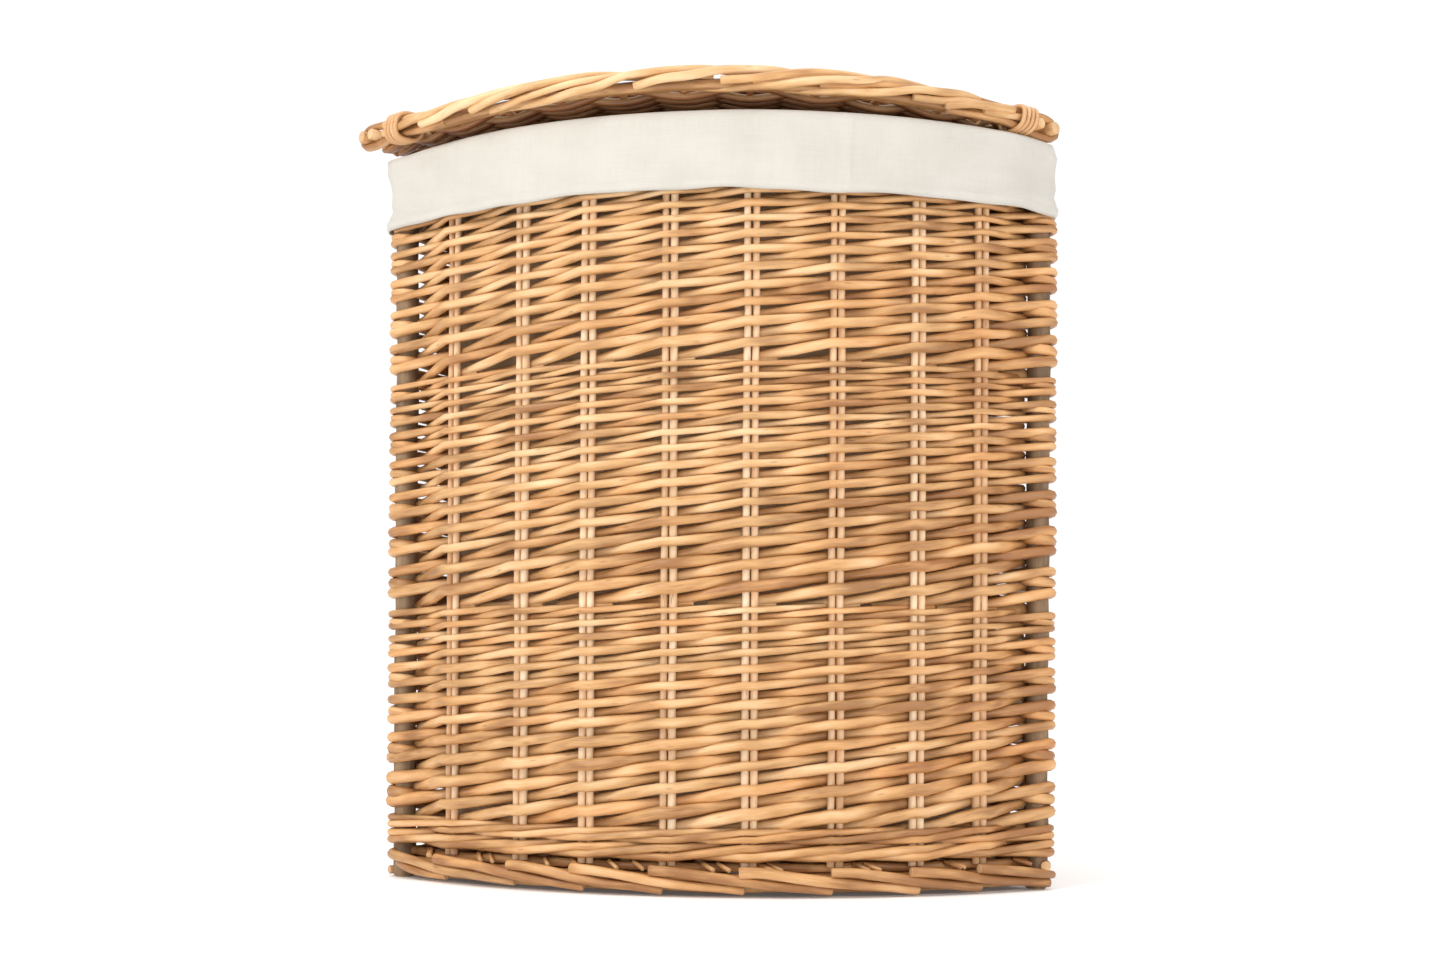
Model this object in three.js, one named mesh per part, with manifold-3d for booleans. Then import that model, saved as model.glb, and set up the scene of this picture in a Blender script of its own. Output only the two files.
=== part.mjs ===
// A woven willow corner basket for laundry: a quarter-circle plan with a curved front and two
// straight sides that meet at a right angle at the back, a folded cotton lining and a hinged lid.
// Units are millimetres, +Z is up and the curved front faces -Y.

import * as THREE from 'three';
import { mergeVertices } from 'three/addons/utils/BufferGeometryUtils.js';
import Module from 'manifold-3d';

const wasm = await Module();
wasm.setup();

// ---------------------------------------------------------------- driving dimensions

const GAP = 0.3; // clearance between pieces that touch

// plan: the back corner is at x = 0, y = 0 while the parts are made
const RADIUS = 360; // outer face of the curved front
const WALL = 18; // a stake with a weaver in front of it and one behind it
const MID = WALL / 2;

// heights
const FOOT_BOTTOM = 4;
const WALE_BOTTOM = 25;
const BAND_HEIGHTS = { lower: 48, middle: 207, upper: 382 };
const WALL_TOP = 533;
const FLARE = 0.034; // the share by which the plan grows from the floor to the top of the walls
const BORDER_HEIGHT = 22;
const CUFF_TOP = 557.3;
const CUFF_BOTTOM = 498.5;

// corner posts and stakes
const POST_RADIUS = 8.5;
const POST_ANGLE = 43.53; // from the middle of the curved front
const FRONT_STAKES = [-33.5, -22.5, -13.5, -3.5, 6, 16, 26, 34.5]; // degrees, hand-set spacing
const SIDE_STAKE_COUNT = 4;
const STAKE_RADIUS = 2.6;
const STAKE_SPREAD = 2.9; // half the distance between the two rods of a pair
const FRONT_SPAN = 41.9; // degrees either side, up to the posts
const SIDE_START = 18.3; // distance from the back corner, clear of the back post
const SIDE_END = 341.7;

// base
const BASE_INSET = WALL + 0.5;
const BASE_BOTTOM = 12;
const BASE_THICKNESS = 16;
const BASE_STICK_RADIUS = 5;
const BASE_STICKS = [-165, -55, 55, 165];

// lining
const BAG_INSET = 24.3;
const CLOTH = 1.5;
const BAG_FLOOR = 34;
const CUFF_OUTSET = 3.5;
const CUFF_CLOTH = 2.2;
const CUFF_CORNER = 14;

// lid
const LID_RADIUS = 388;
const LID_CORNER = [-12.5, 8.3]; // where the two straight edges of the lid meet
const LID_ARCH = 10.5; // rise at the middle of the front border
const LID_PLANE = 566; // height of the stick centres
const LEFT_LIFT = 9; // how far the lid's left tip curls up
const LIFT_FROM = -22; // degrees, where the curl begins
const LIFT_TO = -45; // degrees, where it is full
const LID_WEAVE_THICKNESS = 12;
const EDGE_STICK_RADIUS = 5;
const EDGE_STICK_INSET = 5;
const INNER_STICK_RADIUS = 4;
const INNER_STICK_INSET = 20;
const FAN_STICK_RADIUS = 3.6;
const FAN_STICKS = [[-30, 118], [-15, 64], [0, 48], [15, 64], [30, 118]]; // angle, start radius
const LID_BORDER_BOTTOM = 558.7;
const LID_BORDER_HEIGHT = 21;
const LID_BORDER_WIDTH = 24;
const LID_BORDER_INSET = 24.6; // from the straight edges, inside the two pairs of side sticks
const LASHING_WIDTH = 10;
const LASHING_THICKNESS = 1.1;

// hinge loops
const LOOP_POSITIONS = { front: 265, back: 90 }; // distance from the back corner
const LOOP_ROD = 1.6;
const LOOP_RADIUS = EDGE_STICK_RADIUS + 0.4 + LOOP_ROD;
const LOOP_BOTTOM = 545;
const LOOP_NOTCH_RADIUS = 10.2;
const LOOP_NOTCH_WIDTH = 8;

const DIAGONAL = Math.SQRT1_2;

// ---------------------------------------------------------------- materials

const finish = (color, roughness) => new THREE.MeshStandardMaterial({ color, roughness, metalness: 0 });
const willow = () => finish('#d8a56c', 0.55);
const peeledRod = () => finish('#e6c69a', 0.5);
const postWood = () => finish('#a98862', 0.65);
const innerWillow = () => finish('#b98a58', 0.7);
const cotton = () => finish('#eee9df', 0.95);

// ---------------------------------------------------------------- helpers

const radians = THREE.MathUtils.degToRad;
const lerp = THREE.MathUtils.lerp;

function toSolid(geometry) {
  geometry.deleteAttribute('normal');
  geometry.deleteAttribute('uv');
  const merged = mergeVertices(geometry, 1e-4);
  return new wasm.Manifold(new wasm.Mesh({
    numProp: 3,
    vertProperties: new Float32Array(merged.attributes.position.array),
    triVerts: new Uint32Array(merged.index.array),
  }));
}

function toGeometry(solid) {
  const { vertProperties, triVerts } = solid.getMesh();
  const geometry = new THREE.BufferGeometry();
  geometry.setAttribute('position', new THREE.BufferAttribute(vertProperties, 3));
  geometry.setIndex(new THREE.BufferAttribute(triVerts, 1));
  geometry.computeVertexNormals();
  return geometry;
}

const without = (solid, cuts) => cuts.reduce((rest, cut) => rest.subtract(cut), solid);

const group = new THREE.Group();

function addPart(name, solid, material) {
  const mesh = new THREE.Mesh(toGeometry(solid), material);
  mesh.name = name;
  group.add(mesh);
}

// the walls lean outwards: a piece spreads from the back corner as it rises
const flare = (solid) => solid.warp((point) => {
  const growth = 1 + FLARE * (point[2] / WALL_TOP - 0.5);
  point[0] *= growth;
  point[1] *= growth;
});

// a block bent into place: u runs to the right as seen from outside, v inwards and w upwards
function bentBlock(steps, place) {
  const geometry = new THREE.BoxGeometry(1, 1, 1, ...steps);
  const position = geometry.attributes.position;
  for (let i = 0; i < position.count; i += 1) {
    position.setXYZ(i, ...place(position.getX(i) + 0.5, position.getY(i) + 0.5, position.getZ(i) + 0.5));
  }
  return toSolid(geometry);
}

// the three walls: u is an angle on the curved front and a distance from the back corner on a side
const walls = {
  front: {
    from: -FRONT_SPAN,
    to: FRONT_SPAN,
    steps: 20,
    stakes: FRONT_STAKES,
    heading: (u) => u,
    point: (u, inset, z) => polar(RADIUS - inset, u, z),
  },
  left: {
    from: SIDE_START,
    to: SIDE_END,
    steps: 1,
    stakes: sideStakes(),
    heading: () => 45,
    point: (u, inset, z) => [(inset - u) * DIAGONAL, -(u + inset) * DIAGONAL, z],
  },
  right: {
    from: SIDE_END,
    to: SIDE_START,
    steps: 1,
    stakes: sideStakes(),
    heading: () => -45,
    point: (u, inset, z) => [(u - inset) * DIAGONAL, -(u + inset) * DIAGONAL, z],
  },
};

function polar(radius, angle, z) {
  return [radius * Math.sin(radians(angle)), -radius * Math.cos(radians(angle)), z];
}

function sideStakes() {
  const pitch = (SIDE_END - SIDE_START) / (SIDE_STAKE_COUNT + 0.75);
  return Array.from({ length: SIDE_STAKE_COUNT }, (_, i) => SIDE_START + pitch * (i + 0.875));
}

function wallBlock(wall, outer, inner, bottom, top) {
  return bentBlock([wall.steps, 1, 1], (u, v, w) => wall.point(
    lerp(wall.from, wall.to, u),
    lerp(outer, inner, v),
    lerp(bottom, top, w),
  ));
}

// two round rods side by side, joined along their length
function rodPair(radius, spread, bottom, top) {
  const outline = new THREE.Shape();
  outline.absarc(spread, 0, radius, -Math.PI / 2, Math.PI / 2, false);
  outline.absarc(-spread, 0, radius, Math.PI / 2, 1.5 * Math.PI, false);
  const geometry = new THREE.ExtrudeGeometry(outline, {
    depth: top - bottom,
    bevelEnabled: false,
    curveSegments: 3,
  });
  return geometry.translate(0, 0, bottom);
}

function stakePair(wall, u, extra, bottom, top) {
  const geometry = rodPair(STAKE_RADIUS + extra, STAKE_SPREAD, bottom, top);
  geometry.rotateZ(radians(wall.heading(u)));
  geometry.translate(...wall.point(u, MID, 0));
  return toSolid(geometry);
}

// a round rod between two points
function rod(radius, start, end, sides = 16) {
  const [a, b] = [new THREE.Vector3(...start), new THREE.Vector3(...end)];
  const geometry = new THREE.CylinderGeometry(radius, radius, a.distanceTo(b), sides);
  const direction = b.clone().sub(a).normalize();
  geometry.applyQuaternion(new THREE.Quaternion().setFromUnitVectors(new THREE.Vector3(0, 1, 0), direction));
  geometry.translate(...a.add(b).multiplyScalar(0.5).toArray());
  return toSolid(geometry);
}

const arcPoints = (centre, radius, from, to, steps) => Array.from({ length: steps + 1 }, (_, i) => {
  const angle = lerp(from, to, i / steps);
  return new THREE.Vector2(centre[0] + radius * Math.cos(angle), centre[1] + radius * Math.sin(angle));
});

// the basket's plan, moved inwards by inset, with rounded corners, as a prism
function quadrantPrism(inset, corner, bottom, top) {
  const depth = inset + corner;
  const along = Math.sqrt((RADIUS - depth) ** 2 - depth ** 2);
  const [cornerX, cornerY] = walls.right.point(along, depth, 0);
  const turn = Math.atan2(cornerX, -cornerY);
  const outline = new THREE.Shape([
    ...arcPoints([0, 0], RADIUS - inset, -Math.PI / 2 - turn, -Math.PI / 2 + turn, 24),
    ...arcPoints([cornerX, cornerY], corner, -Math.PI / 2 + turn, Math.PI / 4, 5).slice(1),
    ...arcPoints([0, -depth * Math.SQRT2], corner, Math.PI / 4, 0.75 * Math.PI, 4),
    ...arcPoints([-cornerX, cornerY], corner, 0.75 * Math.PI, 1.5 * Math.PI - turn, 5).slice(0, -1),
  ]);
  const geometry = new THREE.ExtrudeGeometry(outline, { depth: top - bottom, bevelEnabled: false });
  return toSolid(geometry.translate(0, 0, bottom));
}

// ---------------------------------------------------------------- wall frame

function addPosts() {
  const places = {
    post_back: [0, -MID * Math.SQRT2],
    post_front_left: polar(RADIUS - MID, -POST_ANGLE, 0),
    post_front_right: polar(RADIUS - MID, POST_ANGLE, 0),
  };
  for (const [name, [x, y]] of Object.entries(places)) {
    addPart(name, flare(rod(POST_RADIUS, [x, y, 0], [x, y, WALL_TOP], 24)), postWood());
  }
}

function addStakes() {
  for (const [side, wall] of Object.entries(walls)) {
    wall.stakes.forEach((u, i) => {
      const solid = stakePair(wall, u, 0, WALE_BOTTOM + GAP, WALL_TOP);
      addPart(`stake_pair_${side}_${i + 1}`, flare(solid), peeledRod());
    });
  }
}

const stakeChannels = (wall) => wall.stakes.map(
  (u) => stakePair(wall, u, GAP, WALE_BOTTOM - 5, WALL_TOP + 5),
);

function addWeave() {
  const bands = Object.entries(BAND_HEIGHTS);
  for (const [side, wall] of Object.entries(walls)) {
    const channels = stakeChannels(wall);
    const wale = wallBlock(wall, 0, WALL, WALE_BOTTOM + GAP, BAND_HEIGHTS.lower - GAP);
    addPart(`wale_${side}`, flare(without(wale, channels)), willow());
    bands.forEach(([band, bottom], i) => {
      const top = i + 1 < bands.length ? bands[i + 1][1] - GAP : WALL_TOP;
      const weave = without(wallBlock(wall, 0, WALL, bottom, top), channels);
      addPart(`weave_${side}_${band}`, flare(weave), willow());
    });
    const foot = wallBlock(wall, 0, WALL, FOOT_BOTTOM, WALE_BOTTOM);
    addPart(`foot_border_${side}`, flare(foot), willow());
  }
}

// the plaited border on top of the walls: one run along the front, two that meet at the back corner
function addTopBorder(cuts) {
  const bottom = WALL_TOP + GAP;
  const top = bottom + BORDER_HEIGHT;
  const width = WALL + 3.5;
  const ring = quadrantPrism(-0.5, 11, bottom, top).subtract(quadrantPrism(width, 26, bottom - 5, top + 5));
  const frontRoom = (inset) => bentBlock([40, 1, 1], (u, v, w) => polar(
    lerp(RADIUS + 20, RADIUS - inset, v),
    lerp(-60, 60, u),
    lerp(bottom - 5, top + 5, w),
  ));
  const half = (from, to) => bentBlock([1, 1, 1], (u, v, w) => [
    lerp(from, to, u),
    lerp(-RADIUS - 20, 20, v),
    lerp(bottom - 5, top + 5, w),
  ]);
  const side = (from, to) => {
    const run = ring.intersect(half(from, to)).subtract(frontRoom(width + GAP));
    return without(flare(run), cuts);
  };
  addPart('top_border_front', flare(ring.intersect(frontRoom(width))), willow());
  addPart('top_border_left', side(-RADIUS, -GAP / 2), willow());
  addPart('top_border_right', side(GAP / 2, RADIUS), willow());
}

// ---------------------------------------------------------------- base

// how far forward and how far back a straight line at x stays inside the base's outline
function baseReach(x) {
  const front = -Math.sqrt((RADIUS - BASE_INSET) ** 2 - x ** 2);
  const back = -Math.abs(x) - BASE_INSET * Math.SQRT2;
  return [front + 6, back - 6];
}

function addBase() {
  const z = BASE_BOTTOM + BASE_THICKNESS / 2;
  const stick = (x, radius, extra) => {
    const [front, back] = baseReach(x);
    return rod(radius, [x, front - extra, z], [x, back + extra, z], 12);
  };
  const slab = quadrantPrism(BASE_INSET, 3, BASE_BOTTOM, BASE_BOTTOM + BASE_THICKNESS);
  const channels = BASE_STICKS.map((x) => stick(x, BASE_STICK_RADIUS + GAP, 30));
  addPart('base_weave', flare(without(slab, channels)), innerWillow());
  BASE_STICKS.forEach((x, i) => {
    addPart(`base_stick_${i + 1}`, flare(stick(x, BASE_STICK_RADIUS, 0)), innerWillow());
  });
}

// ---------------------------------------------------------------- lining

function addLining(cuts) {
  const innerCorner = 30;
  const bag = quadrantPrism(BAG_INSET, innerCorner, BAG_FLOOR, CUFF_TOP);
  const room = quadrantPrism(BAG_INSET + CLOTH, innerCorner - CLOTH, BAG_FLOOR + CLOTH, CUFF_TOP + 5);
  addPart('lining_bag', flare(bag.subtract(room)), cotton());

  const over = WALL_TOP + GAP + BORDER_HEIGHT + GAP;
  const outside = quadrantPrism(-CUFF_OUTSET, CUFF_CORNER, CUFF_BOTTOM, CUFF_TOP);
  const under = quadrantPrism(CUFF_CLOTH - CUFF_OUTSET, CUFF_CORNER - CUFF_CLOTH, CUFF_BOTTOM - 5, over);
  const mouth = quadrantPrism(BAG_INSET - GAP, innerCorner + GAP, CUFF_BOTTOM, CUFF_TOP + 5);
  const cuff = flare(without(outside, [under, mouth]));
  addPart('lining_cuff', without(cuff, cuts), cotton());
}

// ---------------------------------------------------------------- lid

// the lid's own frame: distance along and inset from one of its straight edges
const lidEdge = {
  right: (along, inset, z) => {
    const [x, y] = walls.right.point(along, inset, 0);
    return [x + LID_CORNER[0], y + LID_CORNER[1], z];
  },
  left: (along, inset, z) => {
    const [x, y] = walls.left.point(along, inset, 0);
    return [x + LID_CORNER[0], y + LID_CORNER[1], z + (LEFT_LIFT * along) / LID_RADIUS];
  },
};

// the lid rises along straight sticks to the middle of its front, and again to its left tip
function lidRise(radius, angle) {
  const curl = THREE.MathUtils.clamp((angle - LIFT_FROM) / (LIFT_TO - LIFT_FROM), 0, 1) ** 2;
  return (radius / LID_RADIUS) * (LID_ARCH * Math.cos(radians(2 * angle)) + LEFT_LIFT * curl);
}

function lidPoint(radius, angle, z) {
  const [x, y] = polar(radius, angle, 0);
  return [x + LID_CORNER[0], y + LID_CORNER[1], z + lidRise(radius, angle)];
}

const angleAtInset = (radius, inset) => 45 - THREE.MathUtils.radToDeg(Math.asin(inset / radius));

function lidSlab(steps, inset, innerRadius, outerRadius, bottom, top) {
  return bentBlock(steps, (u, v, w) => {
    const radius = lerp(outerRadius, innerRadius, v);
    const reach = angleAtInset(radius, inset);
    return lidPoint(radius, lerp(-reach, reach, u), lerp(bottom, top, w));
  });
}

const innerStickPlane = LID_PLANE + 1.1;

function lidSticks(extra) {
  const weaveEnd = LID_RADIUS - LID_BORDER_WIDTH - 2 * GAP;
  const fan = FAN_STICKS.map(([angle, start]) => rod(
    FAN_STICK_RADIUS + extra,
    lidPoint(start - extra, angle, LID_PLANE),
    lidPoint(weaveEnd + 10 * extra, angle, LID_PLANE),
    12,
  ));
  const side = (edge, start) => rod(
    INNER_STICK_RADIUS + extra,
    edge(start - extra, INNER_STICK_INSET, innerStickPlane),
    edge(LID_RADIUS + 10 * extra, INNER_STICK_INSET, innerStickPlane),
    12,
  );
  return { fan, right: side(lidEdge.right, 15), left: side(lidEdge.left, 25.5) };
}

function addLidSticks() {
  const end = LID_RADIUS + 1;
  const edge = (place, start) => rod(
    EDGE_STICK_RADIUS,
    place(start, EDGE_STICK_INSET, LID_PLANE),
    place(end, EDGE_STICK_INSET, LID_PLANE),
    20,
  );
  addPart('lid_hinge_stick', edge(lidEdge.right, 0), willow());
  addPart('lid_left_stick', edge(lidEdge.left, 10.4), willow());
  const { fan, right, left } = lidSticks(0);
  addPart('lid_inner_stick_right', right, willow());
  addPart('lid_inner_stick_left', left, willow());
  fan.forEach((stick, i) => addPart(`lid_fan_stick_${i + 1}`, stick, innerWillow()));
}

// distance along the lid's own edge of a place on the basket's side
const alongLid = (along) => along + (LID_CORNER[1] - LID_CORNER[0]) * DIAGONAL;

function addLidWeave() {
  const half = LID_WEAVE_THICKNESS / 2;
  const outer = LID_RADIUS - LID_BORDER_WIDTH - GAP;
  const inset = EDGE_STICK_INSET + EDGE_STICK_RADIUS + GAP;
  const slab = lidSlab([20, 8, 1], inset, 20, outer, LID_PLANE - half, LID_PLANE + half);
  const { fan, right, left } = lidSticks(GAP);
  const notches = Object.values(LOOP_POSITIONS).map((along) => rod(
    LOOP_NOTCH_RADIUS,
    lidEdge.right(alongLid(along) - LOOP_NOTCH_WIDTH / 2, EDGE_STICK_INSET, LID_PLANE),
    lidEdge.right(alongLid(along) + LOOP_NOTCH_WIDTH / 2, EDGE_STICK_INSET, LID_PLANE),
    20,
  ));
  addPart('lid_weave', without(slab, [...fan, right, left, ...notches]), willow());
}

function lidBorder(grow, inset) {
  return lidSlab(
    [32, 1, 1],
    inset,
    LID_RADIUS - LID_BORDER_WIDTH - grow,
    LID_RADIUS + grow,
    LID_BORDER_BOTTOM - grow,
    LID_BORDER_BOTTOM + LID_BORDER_HEIGHT + grow,
  );
}

// the stretch of the border's end that a lashing covers, from one inset to another
function lashingStretch(edge, from, to) {
  return bentBlock([1, 1, 1], (u, v, w) => edge(
    lerp(LID_RADIUS + 20, LID_RADIUS - 60, v),
    lerp(from, to, u),
    lerp(LID_BORDER_BOTTOM - 20, LID_BORDER_BOTTOM + 60, w),
  ));
}

function addLidBorder() {
  addPart('lid_front_border', lidBorder(0, LID_BORDER_INSET), willow());
  const outside = lidBorder(GAP + LASHING_THICKNESS, LID_BORDER_INSET - 5);
  const tube = outside.subtract(lidBorder(GAP, LID_BORDER_INSET - 9));
  const weaveRoom = lidSlab(
    [32, 1, 1],
    EDGE_STICK_INSET,
    LID_RADIUS - 60,
    LID_RADIUS - LID_BORDER_WIDTH,
    LID_PLANE - LID_WEAVE_THICKNESS / 2 - GAP,
    LID_PLANE + LID_WEAVE_THICKNESS / 2 + GAP,
  );
  const open = tube.subtract(weaveRoom);
  const [near, far] = [LID_BORDER_INSET + 2, LID_BORDER_INSET + 2 + LASHING_WIDTH];
  addPart('lid_lashing_right', open.intersect(lashingStretch(lidEdge.right, far, near)), peeledRod());
  addPart('lid_lashing_left', open.intersect(lashingStretch(lidEdge.left, near, far)), peeledRod());
}

// ---------------------------------------------------------------- hinge loops

const AXIS_INSET = EDGE_STICK_INSET - (LID_CORNER[0] + LID_CORNER[1]) * DIAGONAL;

// an upright loop of willow round the lid's hinge stick and down into the top border
function hingeLoop(along, extra) {
  const arcSteps = 14;
  const points = [];
  const ring = (centreZ, from, to) => {
    for (let i = 0; i <= arcSteps; i += 1) {
      const angle = lerp(from, to, i / arcSteps);
      const inset = AXIS_INSET + LOOP_RADIUS * Math.cos(angle);
      const place = walls.right.point(along, inset, centreZ + LOOP_RADIUS * Math.sin(angle));
      points.push(new THREE.Vector3(...place));
    }
  };
  ring(LID_PLANE, 0, Math.PI);
  ring(LOOP_BOTTOM, Math.PI, 2 * Math.PI);
  return sweepLoop(points, LOOP_ROD + extra, 8);
}

// a closed round tube through a ring of points that lies in one upright plane
function sweepLoop(points, radius, sides) {
  const across = new THREE.Vector3(DIAGONAL, -DIAGONAL, 0);
  const positions = [];
  const index = [];
  const count = points.length;
  points.forEach((point, i) => {
    const ahead = points[(i + 1) % count].clone().sub(points[(i + count - 1) % count]).normalize();
    const outward = new THREE.Vector3().crossVectors(ahead, across);
    for (let j = 0; j < sides; j += 1) {
      const angle = (2 * Math.PI * j) / sides;
      const place = point.clone();
      place.addScaledVector(outward, radius * Math.cos(angle));
      place.addScaledVector(across, radius * Math.sin(angle));
      positions.push(...place.toArray());
    }
  });
  for (let i = 0; i < count; i += 1) {
    for (let j = 0; j < sides; j += 1) {
      const [i2, j2] = [(i + 1) % count, (j + 1) % sides];
      const [a, b, c, d] = [i * sides + j, i2 * sides + j, i2 * sides + j2, i * sides + j2];
      index.push(a, b, c, a, c, d);
    }
  }
  const geometry = new THREE.BufferGeometry();
  geometry.setAttribute('position', new THREE.Float32BufferAttribute(positions, 3));
  geometry.setIndex(index);
  return toSolid(geometry);
}

function addHingeLoops() {
  for (const [name, along] of Object.entries(LOOP_POSITIONS)) {
    addPart(`hinge_loop_${name}`, hingeLoop(along, 0), peeledRod());
  }
}

// ---------------------------------------------------------------- the whole basket

const loopTunnels = Object.values(LOOP_POSITIONS).map((along) => hingeLoop(along, GAP));

addPosts();
addStakes();
addWeave();
addTopBorder(loopTunnels);
addBase();
addLining(loopTunnels);
addHingeLoops();
addLidSticks();
addLidWeave();
addLidBorder();

// the origin moves to the middle of the footprint, at the level of the floor
const bounds = new THREE.Box3().setFromObject(group);
const centre = bounds.getCenter(new THREE.Vector3());
group.position.set(-centre.x, -centre.y, -bounds.min.z);

export default group;
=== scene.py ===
import math

import bpy
import numpy as np
from mathutils import Matrix, Vector


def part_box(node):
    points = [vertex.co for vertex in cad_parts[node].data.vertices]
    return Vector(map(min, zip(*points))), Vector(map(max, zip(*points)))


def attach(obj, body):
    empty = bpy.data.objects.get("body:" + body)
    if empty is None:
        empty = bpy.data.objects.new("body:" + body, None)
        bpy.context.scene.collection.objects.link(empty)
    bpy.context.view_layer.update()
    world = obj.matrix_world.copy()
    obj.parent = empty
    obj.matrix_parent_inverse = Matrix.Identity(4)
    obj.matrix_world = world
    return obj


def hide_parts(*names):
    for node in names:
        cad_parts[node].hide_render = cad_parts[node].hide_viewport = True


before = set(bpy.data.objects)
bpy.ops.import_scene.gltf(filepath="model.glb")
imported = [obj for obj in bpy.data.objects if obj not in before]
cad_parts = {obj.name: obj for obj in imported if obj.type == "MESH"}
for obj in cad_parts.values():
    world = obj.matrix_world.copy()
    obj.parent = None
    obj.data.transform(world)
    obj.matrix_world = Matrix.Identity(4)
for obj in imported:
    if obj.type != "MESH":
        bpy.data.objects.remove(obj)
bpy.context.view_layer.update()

# -------- sizes, in metres

RADIUS = 0.360  # outer face of the curved front, about the back corner
WALL = 0.018
MID = WALL / 2
POST_RADIUS = 0.0085
STAKE_RADIUS = 0.0029
STAKE_SPREAD = 0.0031  # half the distance between the two rods of a pair
STAKE_TOP = 0.534
POST_FOOT = 0.0014
POST_LENGTH = 0.5313
DIAGONAL = math.sqrt(0.5)

WALE_BOTTOM = 0.025
BANDS = {"lower": (0.048, 0.207, 25), "middle": (0.207, 0.382, 29), "upper": (0.382, 0.537, 28)}
BUTT_PITCH = 1.34  # height of a row at the bottom of a band, over the band's mean row
WALL_TOP = 0.533
FLARE = 0.034  # the share by which the plan grows from the floor to the top of the walls
CUFF_TOP = 0.5573
CUFF_BOTTOM = 0.4985
CUFF_PRESSED = 0.0016  # how far the lid presses the cuff's crown down on the straight sides
BAG_FLOOR = 0.0355

LID_CORNER = (-0.0125, 0.0083)  # from the basket's back corner to the lid's
LID_RADIUS = 0.388
LID_ARCH = 0.0105
LID_PLANE = 0.566
LEFT_LIFT = 0.009  # how far the lid's left tip curls up
LIFT_FROM = -22.0  # degrees, where the curl begins
LIFT_TO = -45.0  # degrees, where it is full
LID_BORDER_BOTTOM = 0.5587
LID_BORDER_TOP = 0.5797
LID_BORDER_WIDTH = 0.024
LID_BORDER_END = 41.5  # degrees either side of the middle
EDGE_STICK_INSET = 0.005
INNER_STICK_INSET = 0.020

rng = np.random.default_rng(7)


def node_centre(name):
    """The middle of a CAD node's box."""
    low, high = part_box(name)
    return (np.array(low) + np.array(high)) / 2


# the back corner of the plan, where the outer faces of the two straight sides meet
CORNER = node_centre("post_back")[:2] + np.array([0, MID * math.sqrt(2)])


def growth(z):
    """How much larger the plan is at a height than half-way up the walls."""
    return 1 + FLARE * (z / WALL_TOP - 0.5)


def flare(points):
    """The walls lean outwards: points spread from the back corner as they rise."""
    return np.column_stack([CORNER + (points[:, :2] - CORNER) * growth(points[:, 2:]), points[:, 2]])


# -------- materials


def node(tree, kind, **values):
    made = tree.nodes.new(kind)
    for name, value in values.items():
        if hasattr(made, name):
            setattr(made, name, value)
        else:
            made.inputs[name.replace("_", " ")].default_value = value
    return made


def ramp(tree, source, stops):
    made = tree.nodes.new("ShaderNodeValToRGB")
    elements = made.color_ramp.elements
    while len(elements) < len(stops):
        elements.new(0.5)
    for element, (place, colour) in zip(elements, stops):
        element.position = place
        element.color = (*colour, 1)
    tree.links.new(source, made.inputs[0])
    return made.outputs[0]


def feed(tree, socket, value):
    """Links a socket to another one, or sets it to a number or a colour."""
    if isinstance(value, bpy.types.NodeSocket):
        tree.links.new(value, socket)
    else:
        socket.default_value = (*value, 1) if isinstance(value, tuple) else value


def mix(tree, kind, factor, a, b):
    made = tree.nodes.new("ShaderNodeMix")
    made.data_type = "RGBA"
    made.blend_type = kind
    for socket, value in ((made.inputs[0], factor), (made.inputs[6], a), (made.inputs[7], b)):
        feed(tree, socket, value)
    return made.outputs[2]


def maths(tree, operation, a, b=0.0, c=0.0):
    made = tree.nodes.new("ShaderNodeMath")
    made.operation = operation
    for socket, value in zip(made.inputs, (a, b, c)):
        feed(tree, socket, value)
    return made.outputs[0]


def attribute(tree, name, output="Vector"):
    return node(tree, "ShaderNodeAttribute", attribute_name=name).outputs[output]


def texture(tree, kind, source, stretch, **values):
    """A texture in the coordinates that source gives, stretched on each axis."""
    mapping = node(tree, "ShaderNodeMapping", Scale=stretch)
    tree.links.new(source, mapping.inputs[0])
    made = node(tree, kind, Scale=1.0, **values)
    tree.links.new(mapping.outputs[0], made.inputs["Vector"])
    return made.outputs["Distance" if kind == "ShaderNodeTexVoronoi" else 0]


def add_bump(tree, shader, height, distance):
    bump = node(tree, "ShaderNodeBump", Strength=0.35, Distance=distance)
    tree.links.new(height, bump.inputs["Height"])
    tree.links.new(bump.outputs[0], shader.inputs["Normal"])


def new_material(name, roughness, coat=0.0, sheen=0.0, specular=0.5):
    material = bpy.data.materials.new(name)
    material.use_nodes = True
    shader = material.node_tree.nodes["Principled BSDF"]
    values = {"Roughness": roughness, "Specular IOR Level": specular, "Coat Weight": coat}
    values |= {"Coat Roughness": 0.35, "Sheen Weight": sheen}
    for label, value in values.items():
        shader.inputs[label].default_value = value
    return material, material.node_tree, shader


REDDENED = (1.0, 0.80, 0.62)  # tints a rod of a redder kind
KNOT = (0.23, 0.09, 0.03)
BARE_WOOD = (0.72, 0.49, 0.27)
GAP_SHADE_TINT = (0.80, 0.58, 0.40)  # painted shade: tints the cloth's outer skin, which is seen through the gaps of the weave


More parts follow.
